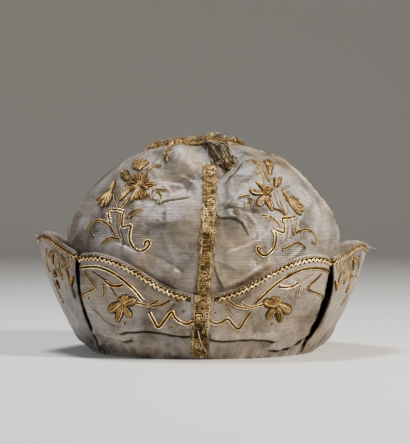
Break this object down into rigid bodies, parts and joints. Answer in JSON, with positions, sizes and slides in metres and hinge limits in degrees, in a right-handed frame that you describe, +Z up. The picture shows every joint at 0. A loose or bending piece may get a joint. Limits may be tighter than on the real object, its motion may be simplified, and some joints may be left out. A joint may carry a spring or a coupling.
{
  "type": "embroidered cap",
  "caption": "Soft domed silk cap with a scalloped turned-up brim, gold lace over the seams, braid along the edge and a tassel on top.",
  "frame": {"origin": "on the table, under the middle of the cap", "axes": "+X to the wearer's left, which is the right side as seen from the front, -Y out of the front, +Z up"},
  "size_m": [0.2955, 0.2074, 0.1902],
  "materials": {
    "silk": "ribbed silk with a soft sheen, faded and creased",
    "gold_lace": "aged lace of gold thread",
    "bright_gold": "bright gold cord and braid",
    "tarnished_thread": "metal thread tarnished to a dark brown"
  },
  "bodies": {
    "root": {"crown_front_right": "silk", "crown_back_right": "silk", "crown_back_left": "silk", "crown_front_left": "silk", "brim_right": "silk", "brim_left": "silk", "lace_crown_front": "gold_lace", "lace_crown_back": "gold_lace", "lace_crown_right": "gold_lace", "lace_crown_left": "gold_lace", "lace_crown_top": "gold_lace", "lace_tail": "gold_lace", "lace_brim_front": "gold_lace", "lace_brim_back": "gold_lace", "braid_right": "bright_gold", "braid_left": "bright_gold", "tassel": "tarnished_thread"}
  },
  "joints": []
}
